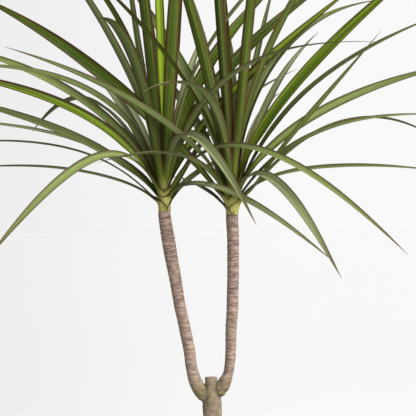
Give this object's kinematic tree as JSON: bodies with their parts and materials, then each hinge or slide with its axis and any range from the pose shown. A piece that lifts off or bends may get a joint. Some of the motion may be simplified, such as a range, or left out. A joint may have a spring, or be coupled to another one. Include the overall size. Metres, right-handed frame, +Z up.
{
  "type": "potted dragon tree",
  "caption": "Potted dragon tree: a ringed trunk forks at a pruned stump into canes, each with a crown of long narrow arching leaves, in soil in a plain round clay pot.",
  "frame": {"origin": "middle of the pot's flat underside", "axes": "+Z up along the trunk, -Y towards the side that the picture shows, +X to the right as seen from there"},
  "size_m": [0.7111, 0.6912, 1.0991],
  "materials": {
    "terracotta": "matte unglazed fired clay",
    "potting_soil": "crumbly peat and bark fibre",
    "ringed_bark": "matte grey-brown bark ringed with leaf scars",
    "leaf_green": "satin green leaf with narrow dark red margins"
  },
  "bodies": {
    "root": {"pot": "terracotta", "soil": "potting_soil", "trunk": "ringed_bark", "crown_left": "leaf_green", "crown_right": "leaf_green"}
  },
  "joints": []
}
